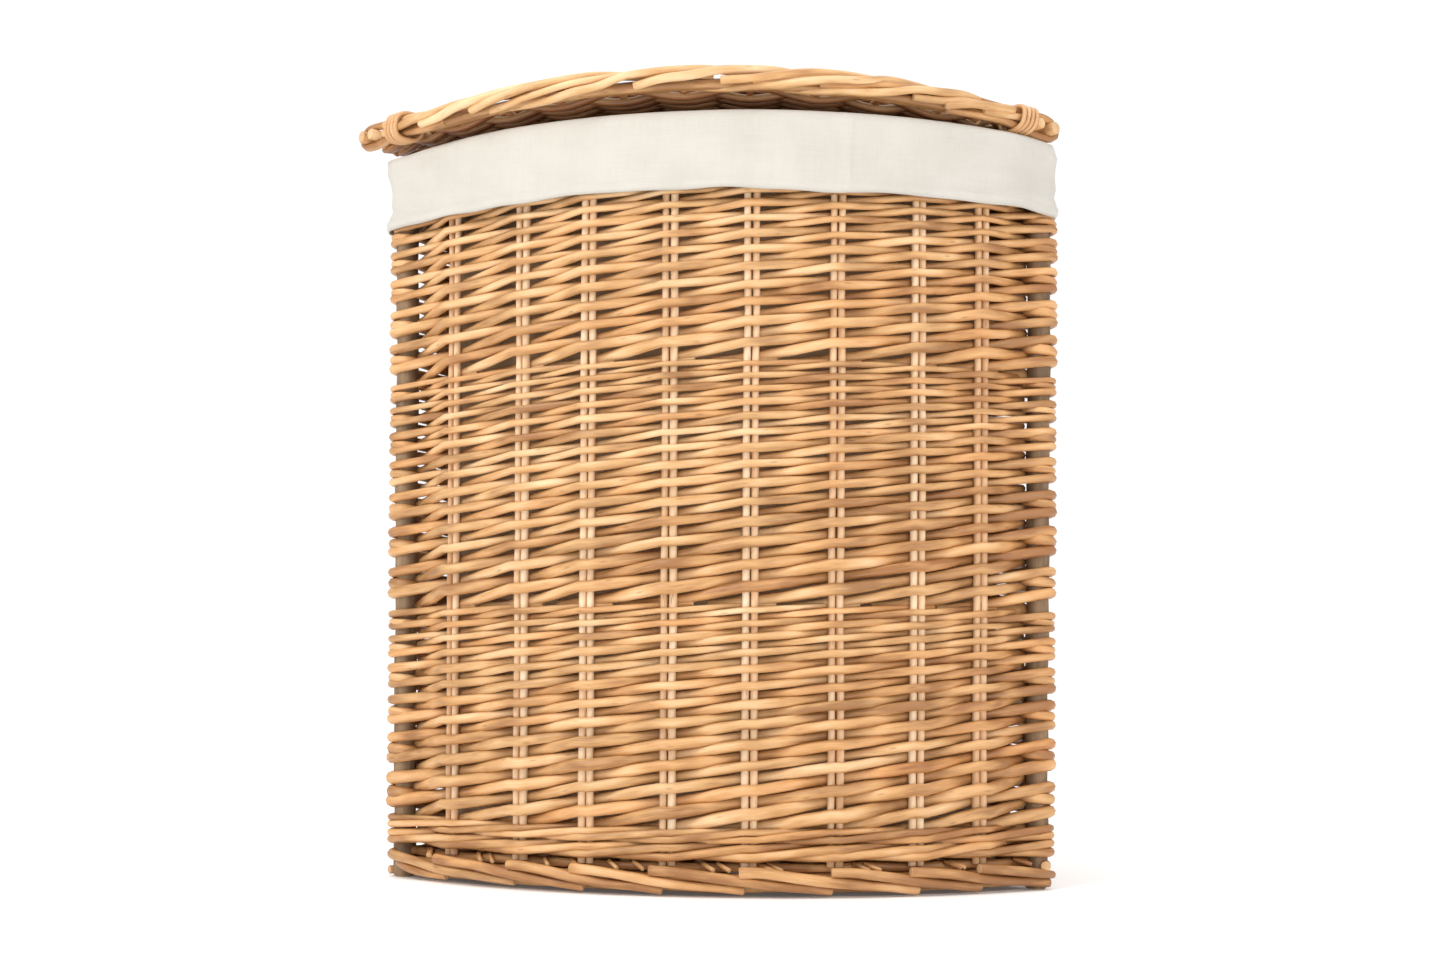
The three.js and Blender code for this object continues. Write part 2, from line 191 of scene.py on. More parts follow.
def willow_material(name, dark, mid, light, roughness=0.42, coat=0.1, below=(1, 1, 1)):
    """Willow rod: fibres and blotches run along the rod, with small knots and a tone of its own.

    A face that looks down is darkened by the colour "below": painted shade on the undersides.
    """
    material, tree, shader = new_material(name, roughness, coat)
    grain = attribute(tree, "grain")
    fibre = texture(tree, "ShaderNodeTexNoise", grain, (1500, 1500, 45), Detail=3.0, Roughness=0.6)
    blotch = texture(tree, "ShaderNodeTexNoise", grain, (110, 110, 24), Detail=2.0, Roughness=0.5)
    knots = texture(tree, "ShaderNodeTexVoronoi", grain, (170, 170, 36))
    split = node(tree, "ShaderNodeSeparateXYZ")
    tree.links.new(attribute(tree, "tone"), split.inputs[0])
    tone, red, cut = split.outputs

    level = maths(tree, "MULTIPLY_ADD", blotch, 1.35, tone)
    level = maths(tree, "MULTIPLY_ADD", fibre, 0.45, level)
    level = maths(tree, "SUBTRACT", level, 0.395)
    colour = ramp(tree, level, [(0.15, dark), (0.5, mid), (0.9, light)])
    colour = mix(tree, "MULTIPLY", red, colour, REDDENED)
    speck = ramp(tree, knots, [(0.0, (1, 1, 1)), (0.15, (0, 0, 0))])
    colour = mix(tree, "MIX", maths(tree, "MULTIPLY", speck, 0.7), colour, KNOT)
    colour = mix(tree, "MIX", cut, colour, BARE_WOOD)
    # painted shade: a face that looks down is darkened towards the colour below
    if below != (1, 1, 1):
        facing = node(tree, "ShaderNodeSeparateXYZ")
        tree.links.new(node(tree, "ShaderNodeTexCoord").outputs["Normal"], facing.inputs[0])
        shaded = maths(tree, "MULTIPLY_ADD", facing.outputs[2], -0.8, 0.3)
        shaded = maths(tree, "MINIMUM", maths(tree, "MAXIMUM", shaded, 0.0), 1.0)
        colour = mix(tree, "MULTIPLY", shaded, colour, below)
    tree.links.new(colour, shader.inputs["Base Color"])

    add_bump(tree, shader, maths(tree, "MULTIPLY_ADD", blotch, 1.5, fibre), 0.0003)
    gloss = maths(tree, "MULTIPLY_ADD", blotch, 0.3, roughness - 0.13)
    tree.links.new(gloss, shader.inputs["Roughness"])
    return material


def cotton_material(name, base, thread):
    """Unbleached plain-weave cotton: crossing threads with slubs, and a soft mottled colour."""
    material, tree, shader = new_material(name, 0.9, sheen=0.25, specular=0.25)
    shader.inputs["Sheen Roughness"].default_value = 0.5
    cloth = attribute(tree, "cloth")

    def threads(axis):
        wave = node(tree, "ShaderNodeTexWave", Scale=300.0, Distortion=1.2, Detail=1.0, Detail_Scale=0.6)
        wave.bands_direction = axis
        tree.links.new(cloth, wave.inputs["Vector"])
        return wave.outputs["Fac"]

    def slubs(stretch):
        return texture(tree, "ShaderNodeTexNoise", cloth, stretch, Detail=3.0)

    weave = maths(tree, "MULTIPLY", threads("X"), threads("Y"))
    slub = maths(tree, "ADD", slubs((30, 900, 1)), slubs((900, 30, 1)))
    mottle = maths(tree, "MULTIPLY", slubs((25, 25, 1)), 0.6)
    level = maths(tree, "MULTIPLY_ADD", slub, 0.24, mottle)
    level = maths(tree, "MULTIPLY_ADD", weave, 0.06, level)
    colour = ramp(tree, level, [(0.22, thread), (0.66, base)])
    # painted shade on the bag's outer skin, from its "outside" mask
    colour = mix(tree, "MULTIPLY", attribute(tree, "outside", "Fac"), colour, GAP_SHADE_TINT)
    tree.links.new(colour, shader.inputs["Base Color"])
    add_bump(tree, shader, maths(tree, "MULTIPLY_ADD", slub, 0.9, weave), 0.0004)
    return material


WILLOW = willow_material(
    "willow", (0.34, 0.16, 0.055), (0.64, 0.37, 0.155), (0.86, 0.61, 0.35), coat=0.13
)
PALE_WILLOW = willow_material("pale_willow", (0.62, 0.37, 0.18), (0.83, 0.59, 0.36), (0.94, 0.78, 0.56))
# a darker copy of the willow: painted shade for the base inside the basket and the lid's fan sticks and
# weave
SHADED_WILLOW = willow_material(
    "inner_willow", (0.28, 0.14, 0.055), (0.48, 0.28, 0.12), (0.66, 0.44, 0.23), below=(0.58, 0.40, 0.32)
)
# the posts' own grey-brown wood, darkened further as painted shade
POST_WOOD_AND_SHADE = willow_material(
    "post_wood", (0.14, 0.09, 0.05), (0.26, 0.175, 0.10), (0.37, 0.26, 0.16), roughness=0.7, coat=0.0
)
COTTON = cotton_material("cotton", (0.60, 0.57, 0.515), (0.505, 0.475, 0.42))

# -------- rods


class Rod:
    """A willow rod: a smooth path with a radius at each point, and a tone of its own."""

    def __init__(self, points, tone=None, red=None, samples=4):
        self.path = smooth(np.array(points, float), samples)
        self.tone = rng.normal(0.0, 0.08) if tone is None else tone
        self.red = float(np.clip(rng.normal(0.22, 0.2), 0, 0.8)) if red is None else red
        self.seed = rng.uniform(0, 40)


def smooth(points, samples):
    """A cubic through the points, which suits uneven spacing; samples is the steps on a long stretch."""
    step = np.linalg.norm(np.diff(points[:, :3], axis=0), axis=1)
    keep = np.concatenate([[True], step > 1e-6])
    points = points[keep]
    step = np.linalg.norm(np.diff(points[:, :3], axis=0), axis=1)
    slope = np.diff(points, axis=0) / step[:, None]
    tangent = np.empty_like(points)
    tangent[0], tangent[-1] = slope[0], slope[-1]
    weight = (step[:-1] / (step[:-1] + step[1:]))[:, None]
    tangent[1:-1] = slope[:-1] * (1 - weight) + slope[1:] * weight
    longest = np.percentile(step, 90)
    out = []
    for i, length in enumerate(step):
        count = max(1, int(round(samples * min(1.0, length / longest))))
        t = (np.arange(count) / count)[:, None]
        h00, h10 = 2 * t**3 - 3 * t**2 + 1, t**3 - 2 * t**2 + t
        h01, h11 = -2 * t**3 + 3 * t**2, t**3 - t**2
        start, end = points[i], points[i + 1]
        out.append(h00 * start + h10 * length * tangent[i] + h01 * end + h11 * length * tangent[i + 1])
    out.append(points[-1:])
    return np.concatenate(out)


def rod_rings(rod, sides):
    """The rings of points round a rod, and the grain coordinates of each."""
    centre, radius = rod.path[:, :3], rod.path[:, 3]
    ahead = np.gradient(centre, axis=0)
    ahead /= np.linalg.norm(ahead, axis=1)[:, None]
    across = np.empty_like(ahead)
    start = np.array([0, 0, 1.0]) if abs(ahead[0, 2]) < 0.8 else np.array([1.0, 0, 0])
    for i, direction in enumerate(ahead):
        start = start - direction * start.dot(direction)
        start = start / np.linalg.norm(start)
        across[i] = start
    other = np.cross(ahead, across)
    angle = np.arange(sides) * 2 * math.pi / sides
    length = np.concatenate([[0], np.cumsum(np.linalg.norm(np.diff(centre, axis=0), axis=1))])
    wobble = 1 + 0.05 * np.sin(length * 90 + rod.seed)[:, None]
    c, s = np.cos(angle)[None, :], np.sin(angle)[None, :]
    r = radius[:, None] * wobble
    rings = centre[:, None] + (r * c)[..., None] * across[:, None] + (r * s)[..., None] * other[:, None]
    along = np.broadcast_to(length[:, None] + rod.seed, (len(centre), sides))
    grain = np.stack([r * c, r * s, along], -1)
    return rings, grain, ahead


def painted_edge_shade(x):
    """How much painted shade, darker and redder, the willow gets: more beside the front posts, and on
    the right half.
    """
    beside_posts = np.clip((np.abs(x) - 0.16) / 0.09, 0, 1)
    right_half = np.clip((x - 0.03) / 0.12, 0, 1)
    return beside_posts + 0.75 * right_half


def make_mesh(name, verts, faces, **vectors):
    """A smooth mesh with flat cut ends, the faces of more than four corners, and stored vectors."""
    mesh = bpy.data.meshes.new(name)
    mesh.from_pydata(verts.tolist(), [], faces)
    for label, values in vectors.items():
        stored = mesh.attributes.new(label, "FLOAT_VECTOR", "POINT")
        stored.data.foreach_set("vector", values.astype(np.float32).ravel())
    mesh.polygons.foreach_set("use_smooth", [len(face) < 5 for face in faces])
    mesh.update()
    return mesh


BEVEL_LENGTH = 0.14  # of a rod's radius
BEVEL_WIDTH = 0.82  # the radius of a cut face, over the rod's
CUT_PALENESS = 0.55  # how far a cut face takes the colour of bare wood


def rods_to_mesh(name, rods, sides=8, flared=False):
    """One mesh of closed tubes, each with flat cut ends that are slightly bevelled."""
    verts, faces, grains, tones = [], [], [], []
    base = 0
    for rod in rods:
        rings, grain, ahead = rod_rings(rod, sides)
        ends = []
        for place, sign in ((0, -1), (-1, 1)):
            middle, radius = rod.path[place, :3], rod.path[place, 3]
            face_centre = middle + sign * ahead[place] * (BEVEL_LENGTH * radius)
            ends.append(face_centre + (rings[place] - middle) * BEVEL_WIDTH)
        rings = np.concatenate([ends[:1], rings, ends[1:]])
        grain = np.concatenate([grain[:1], grain, grain[-1:]])
        count = len(rings)
        cut = np.zeros((count, sides))
        cut[[0, -1]] = CUT_PALENESS
        tone = np.stack([np.full(cut.shape, rod.tone), np.full(cut.shape, rod.red), cut], -1)
        verts.append(rings.reshape(-1, 3))
        grains.append(grain.reshape(-1, 3))
        tones.append(tone.reshape(-1, 3))
        i, j = np.meshgrid(np.arange(count - 1), np.arange(sides), indexing="ij")
        a, b = i * sides + j, i * sides + (j + 1) % sides
        quads = np.stack([a, b, b + sides, a + sides], -1).reshape(-1, 4) + base
        faces.extend(quads.tolist())
        faces.append([base + k for k in range(sides)][::-1])
        faces.append([base + (count - 1) * sides + k for k in range(sides)])
        base += count * sides
    verts, tones = np.concatenate(verts), np.concatenate(tones)
    if flared:
        edge_shade = painted_edge_shade(verts[:, 0])  # painted shade: darker and redder
        tones[:, 0] -= 0.09 * edge_shade
        tones[:, 1] += 0.15 * edge_shade
        verts = flare(verts)
    return make_mesh(name, verts, faces, grain=np.concatenate(grains), tone=tones)


def add_rods(name, rods, body, material, replaced, sides=8):
    """A piece made of rods. All of the basket leans outwards, but for the hinge loops."""
    flared = body == "basket" and not name.startswith("hinge")
    add_piece(name, rods_to_mesh(name, rods, sides, flared), body, material, replaced)


def add_object(name, data):
    made = bpy.data.objects.new(name, data)
    bpy.context.scene.collection.objects.link(made)
    return made


def add_piece(name, mesh, body, material, replaced):
    piece = add_object(name, mesh)
    mesh.materials.append(material)
    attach(piece, body)
    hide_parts(*replaced)
    return piece


# -------- the wall's plan


class Station:
    """A stake pair or a post on the wall.

    The wall faces before and after on its two sides. A rod passes its middle at clear plus the rod's
    radius, and half is how far a stake pair reaches along the wall.
    """

    def __init__(self, name, before, after, clear, half):
        self.name = name
        self.place = node_centre(name)[:2]
        self.before = before
        self.after = after
        self.clear = clear
        self.half = half
        self.post = clear == POST_RADIUS


def front_normal(place):
    out = place - CORNER
    return out / np.linalg.norm(out)


RIGHT_NORMAL = np.array([DIAGONAL, DIAGONAL])
LEFT_NORMAL = np.array([-DIAGONAL, DIAGONAL])


def stations():
    """Every upright, anticlockwise from above, starting with the left front post."""

    def post(name, before, after):
        return Station(name, before, after, POST_RADIUS, 0.0)

    def stake(name, normal):
        return Station(name, normal, normal, STAKE_RADIUS, 0.0042)

    left = front_normal(node_centre("post_front_left")[:2])
    right = front_normal(node_centre("post_front_right")[:2])
    row = [post("post_front_left", LEFT_NORMAL, left)]
    for i in range(1, 9):
        name = f"stake_pair_front_{i}"
        row.append(stake(name, front_normal(node_centre(name)[:2])))
    row.append(post("post_front_right", right, RIGHT_NORMAL))
    row += [stake(f"stake_pair_right_{i}", RIGHT_NORMAL) for i in (4, 3, 2, 1)]
    row.append(post("post_back", RIGHT_NORMAL, LEFT_NORMAL))
    row += [stake(f"stake_pair_left_{i}", LEFT_NORMAL) for i in (1, 2, 3, 4)]
    return row


STATIONS = stations()
COUNT = len(STATIONS)
POSTS = [station for station in STATIONS if station.post]
WALLS = ("front", "left", "right")
FRONT_GAPS = 9  # the gaps between the two front posts
TURN = 0.07  # the share of a gap that a post's rounded corner takes


def between(normal_a, normal_b, share):
    """The direction part of the way from one normal to the next, turning the short way."""
    a = math.atan2(normal_a[1], normal_a[0])
    turn = (math.atan2(normal_b[1], normal_b[0]) - a + math.pi) % (2 * math.pi) - math.pi
    angle = a + turn * share
    return np.array([math.cos(angle), math.sin(angle)])


def wall_place(u):
    """The place on the wall's middle surface at u stations along, and the way the wall faces there."""
    index = int(math.floor(u)) % COUNT
    share = u - math.floor(u)
    here, there = STATIONS[index], STATIONS[(index + 1) % COUNT]
    if here.post and share < TURN:
        return here.place, between(here.before, here.after, 0.5 + 0.5 * share / TURN)
    if there.post and share > 1 - TURN:
        return there.place, between(there.before, there.after, 0.5 * (share - 1 + TURN) / TURN)
    low = TURN if here.post else 0.0
    high = 1 - TURN if there.post else 1.0
    share = (share - low) / (high - low)
    if index < FRONT_GAPS:
        normal = between(front_normal(here.place), front_normal(there.place), share)
        return CORNER + normal * (RADIUS - MID), normal
    return here.place + (there.place - here.place) * share, here.after


def wall_point(u, out, z, radius):
    """A point of a rod, and its radius there: out metres outside the wall's middle surface."""
    place, normal = wall_place(u)
    return [*(place + normal * out), z, radius]


def gap_length(index):
    a, b = STATIONS[index % COUNT], STATIONS[(index + 1) % COUNT]
    return float(np.linalg.norm(a.place - b.place))


# -------- weavers


def pass_upright(u, side, z, radius, wrap=False):
    """The points of a rod that passes an upright outside (side 1) or inside (side -1)."""
    station = STATIONS[int(u) % COUNT]
    if not station.post:
        reach = side * (station.clear + radius * 0.85)
        share = station.half / gap_length(int(u))
        bow = ((-1, 0.97), (0, 1), (1, 0.97))
        return [wall_point(u + k * share, reach * near, z, radius) for k, near in bow]
    bare = z < CUFF_BOTTOM  # under the cuff the rods are drawn tight
    reach = station.clear + (0.0035 - radius * 0.44 if bare else radius * 0.2)
    if side > 0:
        return [wall_point(u + TURN * k / 2.5, reach, z, radius) for k in (-2, -1, 0, 1, 2)]
    normal = between(station.before, station.after, 0.5)
    inside = station.place - normal * (reach + radius * 0.5)
    if not wrap:
        return [[*inside, z, radius]]
    points = []
    start = math.atan2(-normal[1], -normal[0])
    turns = 12
    for k in range(turns + 1):
        angle = start - 2 * math.pi * k / turns
        place = station.place + reach * np.array([math.cos(angle), math.sin(angle)])
        points.append([*place, z + radius * 1.1 * (k / turns - 0.5), radius * 0.9])
    return points


def straight_run(points, end):
    """Adds two points on the line to the next one, so that a rod runs straight from stake to stake."""
    a, b = np.array(points[-1]), np.array(end)
    points += [list(a + (b - a) * share) for share in (0.16, 0.84)]


def band_levels(bottom, top, rows):
    """The height of each row in a band: thick rows at the bottom, thin ones at the top."""
    pitch = np.linspace(BUTT_PITCH, 2 - BUTT_PITCH, rows)
    pitch *= (top - bottom) / pitch.sum()
    return bottom + np.concatenate([[0], np.cumsum(pitch)]), pitch


ROD_OVER_ROW = 0.515  # a rod's radius over the height of its row
BUTT_DEPTH = -0.0096  # a new rod's butt lies inside the wall
PLUMP_AT_POST = 1.13  # rods are thicker where they turn round a post


def band_rod(first, bottom, top, rows, shift):
    """One rod of a randed band: it starts thick inside, climbs a row at each upright, and ends thin.

    Shift makes the whole rod a little thicker or thinner than its neighbours.
    """
    levels, pitch = band_levels(bottom, top, rows)
    drift = rng.normal(0, 0.05, rows)
    points = []
    for m in range(rows):
        plump = PLUMP_AT_POST if STATIONS[(first + m) % COUNT].post else 1.0
        radius = ROD_OVER_ROW * pitch[m] * (1 + 0.07 * shift) * plump
        side = 1 if m % 2 else -1
        pressed = 0.22 * math.exp(-m / 1.6)
        z = levels[m] + pitch[m] * (0.12 - pressed + 0.05 * side + drift[m])
        passing = pass_upright(first + m, side, z, radius, m % 4 == 2)
        if m:
            straight_run(points, passing[0])
        else:
            butt = rng.uniform(0.45, 0.7)
            points.append(wall_point(first - butt, BUTT_DEPTH, z - 0.36 * pitch[0], radius * 0.95))
            points.append(wall_point(first - 0.15, -0.0078, z - 0.0012, radius))
        points += passing
    tip = points[-1]
    points.append(wall_point(first + rows - 1 + 0.3, side * 0.004, tip[2] + 0.0005, tip[3] * 0.9))
    return Rod(points)


def add_weave():
    for band, (bottom, top, rows) in BANDS.items():
        rods = [band_rod(first, bottom, top, rows, rng.normal()) for first in range(COUNT)]
        nodes = [f"weave_{wall}_{band}" for wall in WALLS]
        add_rods(f"weave_{band}", rods, "basket", WILLOW, nodes)


# a rod's height at each upright it passes
WALE_RISE = (0.0008, 0.0, 0.0056, 0.0088, 0.0116, 0.0165, 0.0178)
WALE_DEPTH = -0.0062  # its two ends lie inside the wall


def add_wale():
    """Three-rod waling: each rod passes outside two uprights and inside the third, and climbs."""
    rods = []
    for start in range(COUNT):
        thick = rng.uniform(0.0031, 0.0036)
        points = []
        for m, rise in enumerate(WALE_RISE):
            z = WALE_BOTTOM + 0.0027 + rise + rng.normal(0, 0.0005)
            radius = thick * (1 - 0.045 * m)
            passing = pass_upright(start + m, 1 if m % 3 else -1, z, radius)
            if m:
                straight_run(points, passing[0])
            else:
                points.append(wall_point(start - 0.1, WALE_DEPTH, z - 0.0004, radius))
            points += passing
        points.append(wall_point(start + m + 0.12, WALE_DEPTH, z, radius * 0.9))
        rods.append(Rod(points, tone=rng.normal(-0.03, 0.1)))
    add_rods("wale", rods, "basket", WILLOW, [f"wale_{wall}" for wall in WALLS])


def add_stakes():
    for wall, count in zip(WALLS, (8, 4, 4)):
        rods = []
        nodes = [f"stake_pair_{wall}_{i + 1}" for i in range(count)]
        for name in nodes:
            station = next(s for s in STATIONS if s.name == name)
            tangent = np.array([-station.before[1], station.before[0]])
            for sign in (-1, 1):
                radius = STAKE_RADIUS * rng.uniform(0.92, 1.06)
                place = station.place + tangent * sign * STAKE_SPREAD
                points = []
                for k in range(14):
                    z = WALE_BOTTOM - 0.004 + (STAKE_TOP - WALE_BOTTOM) * k / 13
                    sway = tangent * rng.normal(0, 0.00025)
                    points.append([*(place + sway), z, radius * (1 - 0.008 * k)])
                tone, red = rng.normal(0.13, 0.11), rng.uniform(0.0, 0.4)
                rods.append(Rod(points, samples=2, tone=tone, red=red))
        add_rods(f"stakes_{wall}", rods, "basket", PALE_WILLOW, nodes, sides=10)


def add_posts():
    for name in ("post_front_left", "post_front_right", "post_back"):
        x, y, _ = node_centre(name)
        points = []
        for k in range(25):
            z = POST_FOOT + POST_LENGTH * k / 24
            swell = 1 + 0.015 * math.sin(k * 1.9 + x * 40)
            bow = 0.0003 * math.sin(k * 0.8), 0.0003 * math.cos(k * 0.7)
            points.append([x + bow[0], y + bow[1], z, POST_RADIUS * swell])
        rod = Rod(points, samples=2, tone=0.05, red=0.05)
        add_rods(name + "_wood", [rod], "basket", POST_WOOD_AND_SHADE, [name], sides=24)


# -------- borders


def near_post(u):
    """Gives 1 at a post, falling to 0 a little way along the wall on either side."""
    index = int(round(u)) % COUNT
    return max(0.0, 1 - abs(u - round(u)) / 0.3) if STATIONS[index].post else 0.0


def border_rod(start, route, radius, shake=0.0004, taper=0.08):
    """A border rod from (stations along, out, height) points; it bulges where it rounds a post.

    A tapered rod that reaches the right front post ends behind it.
    """
    points = []
    for u, out, z in route:
        if start < FRONT_GAPS < start + u and taper:
            post = STATIONS[FRONT_GAPS]
            ahead = np.array([-post.before[1], post.before[0]])
            place = post.place + post.before * (POST_RADIUS + radius * 0.4) + ahead * 0.0075
            points.append([*place, z + 0.002, radius * 0.8])
            return points
        outside = max(0.0, min(1.0, out / 0.006))
        bulge = near_post(start + u) * outside * max(0.0, POST_RADIUS + radius + 0.0005 - out)
        thickness = radius * (1 - taper * (u - route[0][0]))
        points.append(wall_point(start + u, out + bulge, z + rng.normal(0, shake), thickness))
    return points


def add_foot_border():
    """The foot: each rod starts outside at an upright and runs down to the right under the next ones."""
    rods = []
    for start in range(COUNT):
        thick = rng.uniform(0.0035, 0.0041)
        first = -0.11 + rng.normal(0, 0.03)
        route = [(first, 0.0102, 0.0178), (0.1, 0.0104, 0.0172), (0.5, 0.0102, 0.0148)]
        route += [(0.9, 0.0092, 0.0112), (1.3, 0.0080, 0.0086), (1.7, 0.0064, 0.0064)]
        route.append((1.97 + rng.normal(0, 0.03), 0.0050, 0.0050))
        rods.append(Rod(border_rod(start, route, thick), tone=rng.normal(-0.17, 0.12)))
        for _ in range(2):
            u = start + rng.uniform(0.1, 0.9)
            inner_end = wall_point(u - 0.06, -0.002, 0.0225, 0.0017)
            outer_end = wall_point(u + 0.09, 0.0075, 0.0188, 0.0016)
            rods.append(Rod([inner_end, outer_end], samples=2, tone=-0.1))
    ring = np.linspace(0.25, COUNT + 0.25, 3 * COUNT)
    hoops = ((-0.0050, 0.0200, 0.0032), (-0.0060, 0.0125, 0.0034), (-0.0040, 0.0060, 0.0034))
    for out, z, radius in hoops:
        points = border_rod(0, [(u, out, z) for u in ring], radius, 0.0003, 0)
        rods.append(Rod(points, samples=2, tone=-0.15))
    nodes = [f"foot_border_{wall}" for wall in WALLS]
    add_rods("foot_border", rods, "basket", WILLOW, nodes, sides=10)


def add_top_border():
    """The border under the cuff, seen from inside and below: a rolled plait like the foot."""
    route = [(0.0, 0.003, 0.536), (0.5, 0.0062, 0.5415), (1.0, 0.0055, 0.547)]
    route += [(1.5, 0.0, 0.5495), (2.0, -0.0055, 0.5465), (2.5, -0.0085, 0.541)]
    rods = []
    for start in range(COUNT):
        radius = rng.uniform(0.0032, 0.0037)
        points = [wall_point(start + u, out, z, radius) for u, out, z in route]
        rods.append(Rod(points))
    nodes = [f"top_border_{wall}" for wall in WALLS]
    add_rods("top_border", rods, "basket", WILLOW, nodes)


# -------- base


def base_reach(y):
    """How far left and right the base reaches at y metres in front of the back corner."""
    inset = WALL + 0.001
    side = y - inset * math.sqrt(2)
    front = RADIUS - inset
    arc = math.sqrt(max(front**2 - y**2, 0))
    return min(side, arc)


def add_base():
    """Sticks from front to back, and weavers across that pass under one and over the next."""
    sticks = [node_centre(f"base_stick_{i + 1}")[0] - CORNER[0] for i in range(4)]
    extra = [(a + b) / 2 for a, b in zip(sticks, sticks[1:])]
    uprights = sorted(sticks + extra + [sticks[0] - 0.045, sticks[-1] + 0.045])
    z = node_centre("base_stick_1")[2]
    rods = []
    for x in uprights:
        front = math.sqrt((RADIUS - 0.02) ** 2 - x**2)
        back = abs(x) + 0.029
        if front - back > 0.03:
            points = [[CORNER[0] + x, CORNER[1] - y, z, 0.0046] for y in np.linspace(back, front, 6)]
            rods.append(Rod(points, samples=2))
    weavers = []
    pitch, first = 0.0062, 0.05
    for k in range(int((RADIUS - 0.022 - first) / pitch)):
        y = first + k * pitch
        reach = base_reach(y) - 0.003
        sign = 1 if k % 2 else -1
        points = [[-reach, 0.0]]
        for x in uprights:
            if abs(x) < reach - 0.008:
                points.append([x, 0.0072 * sign])
                sign = -sign
        points.append([reach, 0.0])
        points = [[CORNER[0] + x, CORNER[1] - y, z + up, 0.0029] for x, up in points]
        weavers.append(Rod(points, samples=7))
    nodes = [f"base_stick_{i}" for i in (1, 2, 3, 4)]
    add_rods("base_sticks", rods, "basket", SHADED_WILLOW, nodes)
    add_rods("base_weavers", weavers, "basket", SHADED_WILLOW, ["base_weave"])


# -------- lining


def quadrant_outline(inset, corner, count):
    """Points evenly round the plan moved in by inset, with rounded corners: place, normal, distance."""
    depth = inset + corner
    along = math.sqrt((RADIUS - depth) ** 2 - depth**2)
    right = np.array([(along - depth) * DIAGONAL, -(along + depth) * DIAGONAL])
    turn = math.atan2(right[0], -right[1])
    quarter = math.pi / 4
    arcs = [
        ((0.0, 0.0), RADIUS - inset, -2 * quarter - turn, -2 * quarter + turn),
        (tuple(right), corner, -2 * quarter + turn, quarter),
        ((0.0, -depth * math.sqrt(2)), corner, quarter, 3 * quarter),
        ((-right[0], right[1]), corner, 3 * quarter, 6 * quarter - turn),
    ]
    places, normals = [], []
    for centre, radius, start, end in arcs:
        for angle in np.linspace(start, end, 60):
            normal = np.array([math.cos(angle), math.sin(angle)])
            places.append(np.array(centre) + radius * normal)
            normals.append(normal)
    places, normals = np.array(places), np.array(normals)
    closed = np.vstack([places, places[:1]])
    length = np.concatenate([[0], np.cumsum(np.linalg.norm(np.diff(closed, axis=0), axis=1))])
    wanted = np.arange(count) * length[-1] / count
    ends = np.vstack([normals, normals[:1]])
    xy = np.stack([np.interp(wanted, length, closed[:, k]) for k in (0, 1)], -1)
    out = np.stack([np.interp(wanted, length, ends[:, k]) for k in (0, 1)], -1)
    return xy + CORNER, out / np.linalg.norm(out, axis=1)[:, None], wanted


def ripple(s, seed, waves):
    """A gentle uneven wave round the basket, the same at both ends of the loop."""
    total = np.zeros_like(s)
    turn = 2 * math.pi * s / s.max()
    for k, (cycles, size) in enumerate(waves):
        total += size * np.sin(cycles * turn + seed * (k + 1) * 1.7)
    return total


CUFF_SEAM = math.radians(16.8)  # where the cuff's seam runs down the front
SEAM_HALF_WIDTH = 0.004  # radians
SEAM_RISE = 0.0007
LEFT_SLACK = 0.0082  # how far the cloth stands out at the left front post, at its top


def corner_bulge(places, z):
    """How far the cloth stands out round each post, with shallow drag lines on both sides of it."""
    share = (z - CUFF_BOTTOM) / (CUFF_TOP - CUFF_BOTTOM)
    total = np.zeros(len(places))
    for post in POSTS:
        apart = np.linalg.norm(places - post.place, axis=1)
        size = 0.0008
        if post.name == "post_front_left":
            size += LEFT_SLACK * ((share - 0.4) / 0.6) ** 2
        total += size * np.exp(-((apart / 0.024) ** 2))
        depth = 0.0013 * np.exp(-(((apart - 0.035) / 0.06) ** 2))
        total += depth * np.sin(z * 350 + apart * 45)
    return total


def sheet_mesh(name, rings, cloth, closed_end=False):
    """A mesh of rings of points, top ring first, with the cloth's own flat coordinates."""
    count = rings[0].shape[0]
    verts = np.concatenate(rings)
    faces = []
    for i in range(len(rings) - 1):
        for j in range(count):
            k = (j + 1) % count
            faces.append([i * count + j, i * count + k, (i + 1) * count + k, (i + 1) * count + j])
    coordinates = np.concatenate(cloth)
    if closed_end:
        last = (len(rings) - 1) * count
        verts = np.vstack([verts, rings[-1].mean(axis=0)])
        coordinates = np.vstack([coordinates, cloth[-1].mean(axis=0)])
        faces += [[last + j, last + (j + 1) % count, len(verts) - 1] for j in range(count)]
    return make_mesh(name, verts, faces, cloth=coordinates)


def thicken(piece, thickness):
    """Gives the cloth a thickness, half on each side; the new skin's vertices follow the old ones."""
    modifier = piece.modifiers.new("cloth", "SOLIDIFY")
    modifier.thickness = thickness
    modifier.offset = 0
    modifier.use_even_offset = False
    bpy.context.view_layer.objects.active = piece
    with bpy.context.temp_override(object=piece, active_object=piece, selected_objects=[piece]):
        bpy.ops.object.modifier_apply(modifier=modifier.name)


def paint_shade_outside(piece):
    """Paints shade on the skin of the cloth that lies against the walls, which is seen through the
    weave's gaps.
    """
    mesh = piece.data
    half = len(mesh.vertices) // 2
    places = np.empty(len(mesh.vertices) * 3)
    mesh.vertices.foreach_get("co", places)
    places = places.reshape(-1, 3)
    spread = np.linalg.norm(places[:, :2] - places[:, :2].mean(axis=0), axis=1)
    outer = slice(0, half) if spread[:half].sum() > spread[half:].sum() else slice(half, None)
    # the mask of painted shade: 1 on the outer skin
    outer_shade = np.zeros(len(places))
    outer_shade[outer] = 1
    stored = mesh.attributes.new("outside", "FLOAT", "POINT")
    stored.data.foreach_set("value", outer_shade.astype(np.float32))


